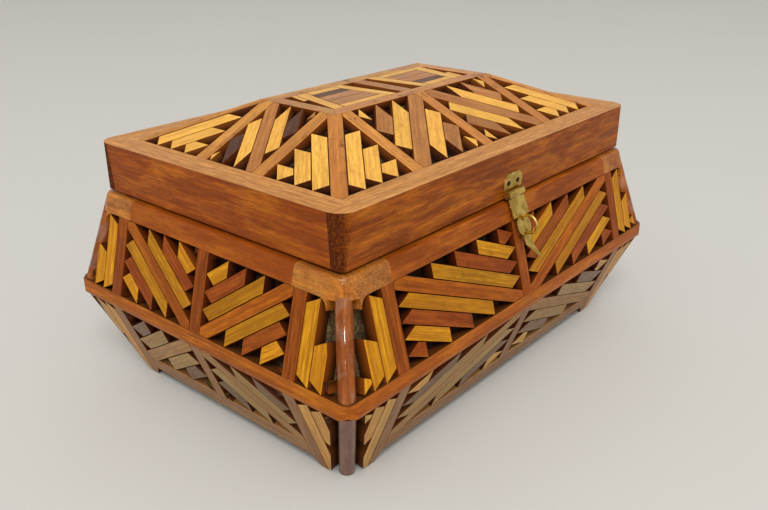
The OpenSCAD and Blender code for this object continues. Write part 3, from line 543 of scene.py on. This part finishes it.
def saw_mitres(bm):
    """Saws a rectangular frame about the middle into four closed sides that meet at mitres."""
    whole = bpy.data.meshes.new("whole_frame")
    bm.to_mesh(whole)
    half_x = max(vert.co.x for vert in bm.verts)
    half_y = max(vert.co.y for vert in bm.verts)
    bm.clear()
    for out in (Vector((1, 0, 0)), Vector((0, 1, 0)), Vector((-1, 0, 0)), Vector((0, -1, 0))):
        across = Vector((-out.y, out.x, 0))
        cuts = [(Vector(), out)]
        for way in (-1, 1):
            corner = out + way * across
            cuts.append((Vector((corner.x * half_x, corner.y * half_y, 0)), out - way * across))
        side = bmesh.new()
        side.from_mesh(whole)
        for place, keep in cuts:
            bmesh.ops.bisect_plane(side, geom=[*side.verts, *side.edges, *side.faces], dist=WELD / 10,
                                   plane_co=place, plane_no=keep, clear_inner=True)
        bmesh.ops.holes_fill(side, edges=[edge for edge in side.edges if edge.is_boundary], sides=0)
        bmesh.ops.recalc_face_normals(side, faces=side.faces)
        part = bpy.data.meshes.new("frame_side")
        side.to_mesh(part)
        side.free()
        bm.from_mesh(part)
        bpy.data.meshes.remove(part)
    bpy.data.meshes.remove(whole)


def merged(node, mitred=False):
    """A bmesh of a CAD node with its triangles joined into whole faces, sawn at its mitres if it is a frame."""
    bm = bmesh.new()
    bm.from_mesh(frame["nodes"][node].data)
    bmesh.ops.remove_doubles(bm, verts=bm.verts, dist=WELD)
    if mitred:
        saw_mitres(bm)
    bmesh.ops.dissolve_limit(bm, angle_limit=FLAT, verts=bm.verts, edges=bm.edges)
    return bm


def islands(bm):
    """The separate pieces of a bmesh, each as a list of its vertices."""
    left = set(bm.verts)
    found = []
    for start in list(bm.verts):
        if start not in left:
            continue
        left.discard(start)
        piece, reached = [start], [start]
        while reached:
            for edge in reached.pop().link_edges:
                for vert in edge.verts:
                    if vert in left:
                        left.discard(vert)
                        piece.append(vert)
                        reached.append(vert)
        found.append(piece)
    return found


def by_length(edge):
    """Puts edges in order of length, and equal ones in order of place, so that every run picks the same one."""
    return (edge.calc_length(), *(edge.verts[0].co + edge.verts[1].co))


def by_area(face):
    """Puts faces in order of area, and equal ones in order of direction, so that every run picks the same one."""
    return (round(face.calc_area() / MM**2, 1), *(round(part, 3) for part in face.normal))


def outward(faces):
    """The slope that one of the faces lies on, or the direction of the largest face."""
    best, out = ON_SLOPE, None
    for slope in SLOPES:
        nearest = max(face.normal.dot(slope) for face in faces)
        if nearest > best:
            best, out = nearest, slope
    return out or max(faces, key=by_area).normal.copy()


def grain_axes(verts):
    """Along, across and out of one piece, from its longest edge and its slope."""
    edges = {edge for vert in verts for edge in vert.link_edges}
    faces = {face for vert in verts for face in vert.link_faces}
    longest = max(edges, key=by_length)
    along = (longest.verts[1].co - longest.verts[0].co).normalized()
    out = outward(faces)
    out = (out - along * out.dot(along)).normalized()
    return along, out.cross(along), out


def ease_edges(bm, verts, size):
    """Bevels the sharp edges of one piece and gives the new faces."""
    edges = {edge for vert in verts for edge in vert.link_edges}
    sharp = [edge for edge in edges if len(edge.link_faces) == 2 and edge.calc_face_angle(0.0) > SHARP]
    made = bmesh.ops.bevel(bm, geom=sharp, offset=size, offset_type="OFFSET", segments=2, profile=0.5,
                           affect="EDGES", clamp_overlap=True, material=-1)
    return made["faces"]


def new_object(bm, name, material):
    """Makes the object of a bmesh, with smooth faces and one material."""
    for face in bm.faces:
        face.smooth = True
    mesh = bpy.data.meshes.new(name)
    bm.to_mesh(mesh)
    bm.free()
    mesh.materials.append(material)
    made = bpy.data.objects.new(name, mesh)
    bpy.context.scene.collection.objects.link(made)
    return made


def dress(node, material, edge, sunk=0.0, ends=True, mitred=False):
    """A copy of a CAD node with eased edges, its own grain on every piece and a finish.

    sunk is the depth over which painted shade darkens the sides of a strip, or 0 for none. A piece that turns a
    corner has no ends to its grain. A mitred frame is sawn into its four sides, each with its own grain.
    """
    bm = merged(node, mitred)
    grain = bm.verts.layers.float_vector.new("grain")
    tone = bm.verts.layers.float.new("tone")
    low = bm.verts.layers.float.new("sunk")
    warm = bm.verts.layers.float.new("warm")
    worn = bm.faces.layers.float.new("worn")
    end = bm.faces.layers.float.new("endgrain")
    side = bm.faces.layers.float.new("side")
    level = bm.faces.layers.float.new("level")
    eased = set()
    for piece in islands(bm):
        eased.update(ease_edges(bm, piece, edge))
    rng = random.Random(node)
    for piece in islands(bm):
        middle = sum((vert.co for vert in piece), Vector()) / len(piece)
        along, across, out = grain_axes(piece)
        turn = Matrix.Rotation(rng.uniform(-GRAIN_TURN, GRAIN_TURN), 3, along)
        across_cut, out_cut = turn @ across, turn @ out
        shift = Vector([rng.uniform(0, furthest) for furthest in GRAIN_SHIFT])
        shade, glow = rng.random(), rng.random()
        top = max(vert.co.dot(out) for vert in piece)
        for vert in piece:
            part = (vert.co - middle) / MM
            vert[grain] = Vector((part.dot(along), part.dot(across_cut), part.dot(out_cut))) + shift
            vert[tone] = shade
            vert[warm] = glow
            vert[low] = min(1.0, (top - vert.co.dot(out)) / sunk) if sunk else 0.0
        for face in {face for vert in piece for face in vert.link_faces}:
            turned = (abs(face.normal.dot(along)) - END_FROM) / (END_FULL - END_FROM)
            face[worn] = 1.0 if face in eased else 0.0
            face[end] = min(1.0, max(0.0, turned)) if ends else 0.0
            face[side] = 1.0 if sunk and abs(face.normal.dot(out)) < SIDE_FACE else 0.0
            face[level] = 1.0 if face.normal.z > LEVEL_FACE else 0.0
    piece = new_object(bm, node + "_look", material)
    even = piece.modifiers.new("even_normals", "WEIGHTED_NORMAL")
    even.keep_sharp = True
    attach(piece, frame["nodes"][node]["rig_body"])
    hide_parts(node)
    return piece


def seen_inside(name, face):
    """How plain a board's face is: 1 inside the box, and 0 behind the strips."""
    if name == "bottom_board":
        return 1.0 if face.normal.z > 0 else UNDER_BOTTOM
    if name.startswith("lid"):
        return 1.0 if face.normal.z < LOOKS_DOWN else 0.0
    to_middle = Vector((-face.center.x, -face.center.y, 0))
    return 1.0 if face.normal.dot(to_middle) > 0 or face.normal.z > LOOKS_UP else 0.0


class KEEPSAKE_OT_boards(bpy.types.Operator):
    """Dress the boards behind the strips and inside the box"""

    bl_idname = "keepsake.boards"
    bl_label = "Backing boards"

    def execute(self, context):
        looks = context.scene.keepsake
        material = stained_board("stained_board", looks.woods)
        names = ["bottom_board", "lid_panel_top"]
        names += [f"{part}_{side}" for part in ("lower_panel", "upper_panel", "lid_panel") for side in SIDES]
        for name in names:
            piece = dress(name, material, looks.edges.board)
            inner = piece.data.attributes.new("inner", "FLOAT", "FACE")
            for face in piece.data.polygons:
                inner.data[face.index].value = seen_inside(name, face)
        return {"FINISHED"}


class KEEPSAKE_OT_rails(bpy.types.Operator):
    """Dress the belt, the rim and the bottom rails"""

    bl_idname = "keepsake.rails"
    bl_label = "Rails of the box"

    def execute(self, context):
        looks = context.scene.keepsake
        woods = looks.woods
        # The belt's upper faces get painted shade
        belt = varnished_wood("belt_wood", woods.belt, woods, rings=0.25, streaks=0.7, flame=0.5, polish=0.2,
                              top_fade_and_shade=woods.ledge_shade)
        rim = varnished_wood("rim_wood", woods.rim_rail, woods, rings=0.25, streaks=0.8, flame=0.7, polish=0.1)
        block = varnished_wood("block_wood", woods.rim_block, woods, flame=0.7, polish=0.4, specked=woods.speck)
        low = varnished_wood("low_rail_wood", woods.low_frame, woods, flame=0.2, polish=0.15, sheen=0.12)
        for side in SIDES:
            dress(f"belt_rail_{side}", belt, looks.edges.rail, ends=False)
            dress(f"rim_rail_{side}", rim, looks.edges.board)
        dress("rim_corner_blocks", block, looks.edges.board, ends=False)
        dress("bottom_rails", low, looks.edges.rail)
        return {"FINISHED"}


class KEEPSAKE_OT_posts(bpy.types.Operator):
    """Dress the round corner posts, the posts between the bays and the bracket feet"""

    bl_idname = "keepsake.posts"
    bl_label = "Posts and feet"

    def execute(self, context):
        looks = context.scene.keepsake
        woods = looks.woods
        rod = varnished_wood("rod_wood", woods.rod, woods, rings=0.2, flame=0.7, polish=0.9, rough=0.3, stains=0.7,
                             crown=woods.rim_block, blotchy=True, glassy=True)
        low_rod = varnished_wood("low_rod_wood", woods.low_rod, woods, rings=0.2, flame=0.7, polish=0.5, sheen=0.2,
                                 stains=0.7)
        post = varnished_wood("post_wood", woods.post, woods, flame=0.5, stains=0.2, shaded=0.6)
        low = varnished_wood("low_post_wood", woods.low_frame, woods, flame=0.2, polish=0.15, sheen=0.12,
                             shaded=0.35)
        dress("upper_corner_posts", rod, looks.edges.board)
        dress("lower_corner_posts", low_rod, looks.edges.board)
        for name, wood in (("upper_posts", post), ("lower_posts", low), ("foot_posts", low)):
            dress(name, wood, looks.edges.strip, sunk=TIER_DEPTH)
        return {"FINISHED"}


class KEEPSAKE_OT_tier_strips(bpy.types.Operator):
    """Dress the strips of both tiers"""

    bl_idname = "keepsake.tier_strips"
    bl_label = "Strips of the tiers"

    def execute(self, context):
        woods = context.scene.keepsake.woods
        for tone in ("gold", "olive", "orange", "brown"):
            wood = varnished_wood(f"upper_{tone}_wood", getattr(woods, f"tier_{tone}"), woods, rings=0.35,
                                  flame=0.45 if tone in ("brown", "orange") else 0.25,
                                  spread=0.25 if tone == "gold" else 0.45, stains=0.25,
                                  shaded=0.9 if tone == "gold" else 0.45)
            self.strips(context, "upper", tone, wood)
        for tone in ("gold", "olive", "tan", "plum"):
            wood = varnished_wood(f"lower_{tone}_wood", getattr(woods, f"low_{tone}"), woods, rings=0.35, flame=0.1,
                                  polish=0.15, sheen=0.12, shaded=0.35)
            self.strips(context, "lower", tone, wood)
        return {"FINISHED"}

    def strips(self, context, tier, tone, wood):
        """The strips of one tone in one tier. The corner bays have the gold wood."""
        edge = context.scene.keepsake.edges.strip
        dress(f"{tier}_strips_{tone}", wood, edge, sunk=TIER_DEPTH)
        if tone == "gold":
            dress(f"{tier}_corner_strips", wood, edge, sunk=TIER_DEPTH)


class KEEPSAKE_OT_lid_rails(bpy.types.Operator):
    """Dress the deep rails of the lid, its hips, slope rails and top frame"""

    bl_idname = "keepsake.lid_rails"
    bl_label = "Rails of the lid"

    def execute(self, context):
        looks = context.scene.keepsake
        woods = looks.woods
        deep = varnished_wood("lid_rail_wood", woods.lid_rail, woods, rings=0.25, streaks=0.9, flame=0.8,
                              top_fade_and_shade=woods.lid_top)
        light = varnished_wood("lid_frame_wood", woods.lid_frame, woods, rings=0.25, flame=0.4, spread=0.8,
                               polish=0.15, sheen=0.22, stains=0.8)
        for side in SIDES:
            dress(f"lid_rail_{side}", deep, looks.edges.rail)
        for name in ("hip_rails", "slope_rails", "top_frame"):
            dress(name, light, looks.edges.strip, sunk=LID_DEPTH, mitred=name == "top_frame")
        return {"FINISHED"}


class KEEPSAKE_OT_lid_strips(bpy.types.Operator):
    """Dress the strips of the lid"""

    bl_idname = "keepsake.lid_strips"
    bl_label = "Strips of the lid"

    def execute(self, context):
        looks = context.scene.keepsake
        woods = looks.woods
        gold = varnished_wood("lid_gold_wood", woods.lid_gold, woods, rings=0.2, streaks=0.4, flame=0.05, spread=0.3,
                              polish=0.15, sheen=0.22, stains=0.15)
        brown = varnished_wood("lid_brown_wood", woods.lid_brown, woods, streaks=0.5, flame=0.25, polish=0.15,
                               sheen=0.22, stains=0.2)
        plum = varnished_wood("lid_plum_wood", woods.lid_plum, woods, streaks=0.5, flame=0.3, polish=0.1, sheen=0.15)
        for name, wood, slot in (("lid_strips_gold", gold, "gold_wood"), ("lid_corner_strips", gold, "gold_wood"),
                                 ("lid_strips_brown", brown, "brown_wood"), ("lid_strips_plum", plum, "plum_wood")):
            dress(name, wood, looks.edges.strip, sunk=LID_DEPTH)
        return {"FINISHED"}


class KEEPSAKE_OT_hinges(bpy.types.Operator):
    """Dress the two hinges at the back"""

    bl_idname = "keepsake.hinges"
    bl_label = "Hinges"

    def execute(self, context):
        looks = context.scene.keepsake
        tones = looks.brass
        brass = aged_brass("hinge_brass", tones.bright, tones.dull, tones.dark)
        for name in ("hinge_box_leaves", "hinge_lid_leaves", "hinge_pins", "hinge_box_screws", "hinge_lid_screws"):
            dress(name, brass, looks.edges.brass)
        return {"FINISHED"}


class KEEPSAKE_OT_hasp(bpy.types.Operator):
    """Dress the hasp and add the nails that hold its plate"""

    bl_idname = "keepsake.hasp"
    bl_label = "Hasp"

    def execute(self, context):
        looks = context.scene.keepsake
        tones = looks.brass
        brass = aged_brass("hasp_brass", tones.bright, tones.dull, tones.dark)
        dark = aged_brass("nail_brass", tones.dark, tones.nail, tones.nail)
        for name in ("hasp_plate", "hasp_pin", "hasp_leaf", "hasp_ring", "hasp_stud"):
            dress(name, brass, looks.edges.brass)
        self.nails(tones, dark)
        return {"FINISHED"}

    def nails(self, sizes, material):
        """Two domed nail heads in the plate's holes."""
        low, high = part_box("hasp_plate")
        out = Vector((0, -math.cos(PLATE_LEAN), -math.sin(PLATE_LEAN)))
        turn = out.to_track_quat("Z", "Y").to_matrix()
        middle = Vector(((low.x + high.x) / 2, NAIL_ROW_Y, NAIL_ROW_Z))
        bm = bmesh.new()
        for side in (-1, 1):
            head = bmesh.ops.create_uvsphere(bm, u_segments=20, v_segments=10, radius=sizes.nail_r)["verts"]
            bmesh.ops.scale(bm, verts=head, vec=(1, 1, sizes.nail_h / sizes.nail_r))
            bmesh.ops.rotate(bm, verts=head, cent=(0, 0, 0), matrix=turn)
            bmesh.ops.translate(bm, verts=head, vec=middle + Vector((side * NAIL_REACH, 0, 0)) + out * NAIL_LIFT)
        # The brass asks how worn a face is, and these aren't
        bm.faces.layers.float.new("worn")
        nails = new_object(bm, "hasp_nails", material)
        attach(nails, "lid")


class KEEPSAKE_OT_stage(bpy.types.Operator):
    """Add the floor, the lamps, the room's light and the camera"""

    bl_idname = "keepsake.stage"
    bl_label = "Stage"

    def execute(self, context):
        scene = context.scene
        stage = scene.keepsake.stage
        self.floor(stage)
        self.room(scene, stage)
        self.lamp(scene, "ceiling_lamp", CEILING_PLACE, CEILING_SIZE, stage.ceiling)
        for pane, height in PANE_HEIGHTS.items():
            self.lamp(scene, f"{pane}_window_pane", Vector((WINDOW_X, WINDOW_Y, height)), PANE_SIZE,
                      stage.window / len(PANE_HEIGHTS), PANE_SPREAD)
        self.camera(scene)
        scene.view_settings.view_transform = "Standard"
        return {"FINISHED"}

    def floor(self, stage):
        """The table top, a hair under the feet."""
        bm = bmesh.new()
        bmesh.ops.create_grid(bm, x_segments=1, y_segments=1, size=FLOOR_HALF)
        bmesh.ops.translate(bm, verts=bm.verts, vec=(0, 0, -FLOOR_DROP))
        new_object(bm, "floor", pale_table("pale_table", stage.floor))

    def room(self, scene, stage):
        """Even light for the object, and the pale background for the camera and for reflections."""
        world = bpy.data.worlds.new("room")
        scene.world = world
        f = Finish(world)
        light = f.node("ShaderNodeBackground", {}, {"Color": DAYLIGHT, "Strength": stage.sky})
        pale = f.node("ShaderNodeBackground", {}, {"Color": linear(stage.backdrop), "Strength": 1.0})
        seen = f.node("ShaderNodeLightPath", out="Is Camera Ray")
        for ray in ("Is Glossy Ray", "Is Transmission Ray"):
            seen = seen + f.node("ShaderNodeLightPath", out=ray)
        mixed = f.node("ShaderNodeMixShader", {}, {0: seen, 1: light, 2: pale})
        f.node("ShaderNodeOutputWorld", {}, {"Surface": mixed})

    def lamp(self, scene, name, place, size, watts, spread=math.pi):
        """A square lamp that faces the box."""
        data = bpy.data.lights.new(name, "AREA")
        data.shape = "SQUARE"
        data.size = size
        data.energy = watts
        data.spread = spread
        lamp = bpy.data.objects.new(name, data)
        lamp.location = place
        lamp.rotation_euler = (LAMP_AIM - place).to_track_quat("-Z", "Y").to_euler()
        scene.collection.objects.link(lamp)

    def camera(self, scene):
        """The photograph's own view."""
        data = bpy.data.cameras.new("camera")
        data.sensor_fit = "HORIZONTAL"
        data.sensor_width = SENSOR_MM
        data.lens = LENS_MM
        data.clip_start = CLIP_START
        camera = bpy.data.objects.new("camera", data)
        camera.matrix_world = Matrix.Translation(CAMERA_PLACE) @ CAMERA_TURN.to_matrix().to_4x4()
        scene.collection.objects.link(camera)
        scene.camera = camera


class KEEPSAKE_PT_looks(bpy.types.Panel):
    """Lists the pieces of the box and what a user would change"""

    bl_idname = "KEEPSAKE_PT_looks"
    bl_label = "Keepsake box"
    bl_space_type = "VIEW_3D"
    bl_region_type = "UI"
    bl_category = "Keepsake Box"

    def draw(self, context):
        looks = context.scene.keepsake
        for group in (looks.woods, looks.brass, looks.edges, looks.stage):
            box = self.layout.box()
            for name in group.__annotations__:
                box.prop(group, name)
        for operator in OPERATORS:
            self.layout.operator(operator.bl_idname)


GROUPS = (KeepsakeWoods, KeepsakeBrass, KeepsakeEdges, KeepsakeStage, KeepsakeLooks)
OPERATORS = (KEEPSAKE_OT_boards, KEEPSAKE_OT_rails, KEEPSAKE_OT_posts, KEEPSAKE_OT_tier_strips,
             KEEPSAKE_OT_lid_rails, KEEPSAKE_OT_lid_strips, KEEPSAKE_OT_hinges, KEEPSAKE_OT_hasp,
             KEEPSAKE_OT_stage)


def register():
    for made in (*GROUPS, *OPERATORS, KEEPSAKE_PT_looks):
        bpy.utils.register_class(made)
    bpy.types.Scene.keepsake = PointerProperty(type=KeepsakeLooks)


def unregister():
    del bpy.types.Scene.keepsake
    for made in reversed((*GROUPS, *OPERATORS, KEEPSAKE_PT_looks)):
        bpy.utils.unregister_class(made)


def main():
    register()
    bpy.ops.keepsake.boards()
    bpy.ops.keepsake.rails()
    bpy.ops.keepsake.posts()
    bpy.ops.keepsake.tier_strips()
    bpy.ops.keepsake.lid_rails()
    bpy.ops.keepsake.lid_strips()
    bpy.ops.keepsake.hinges()
    bpy.ops.keepsake.hasp()
    bpy.ops.keepsake.stage()


if __name__ == "__main__":
    main()
